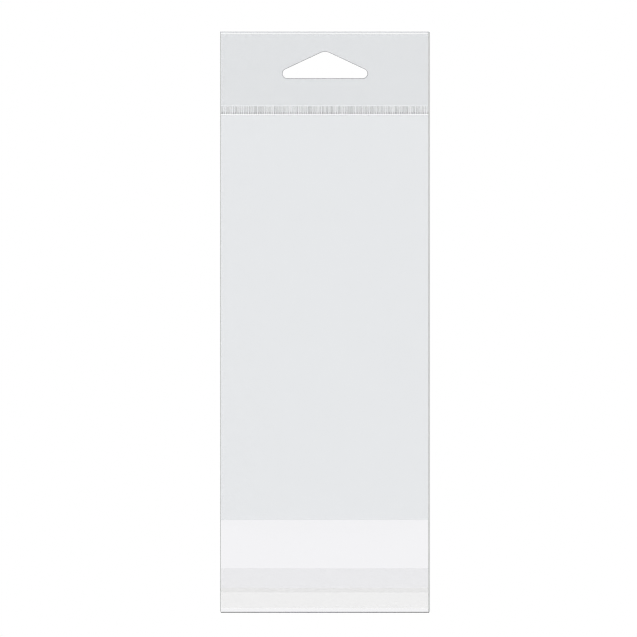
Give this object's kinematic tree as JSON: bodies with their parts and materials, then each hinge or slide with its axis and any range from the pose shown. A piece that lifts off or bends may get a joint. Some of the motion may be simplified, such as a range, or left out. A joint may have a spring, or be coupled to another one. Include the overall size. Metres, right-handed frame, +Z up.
{
  "type": "resealable header bag",
  "caption": "Clear film display bag with a reinforced header, a hang hole, a crimped seal and an open bottom mouth, whose lip carries a peel-off liner over adhesive.",
  "frame": {"origin": "top of the hang hole at mid thickness, where the bar of a display hook bears", "axes": "+X to the right as seen from the front, -Y to the front, +Z up as the bag hangs"},
  "size_m": [0.078, 0.0101, 0.2161],
  "materials": {
    "film": "clear, glossy polypropylene film",
    "insert": "clear polypropylene stiffening strip",
    "adhesive": "clear, even adhesive film",
    "liner": "clear release film, faintly hazed",
    "tab": "clear release film, faintly hazed"
  },
  "bodies": {
    "root": {"bag_film": "film", "header_insert": "insert", "adhesive_strip": "adhesive", "release_liner": "liner", "lift_tab": "tab"}
  },
  "joints": []
}
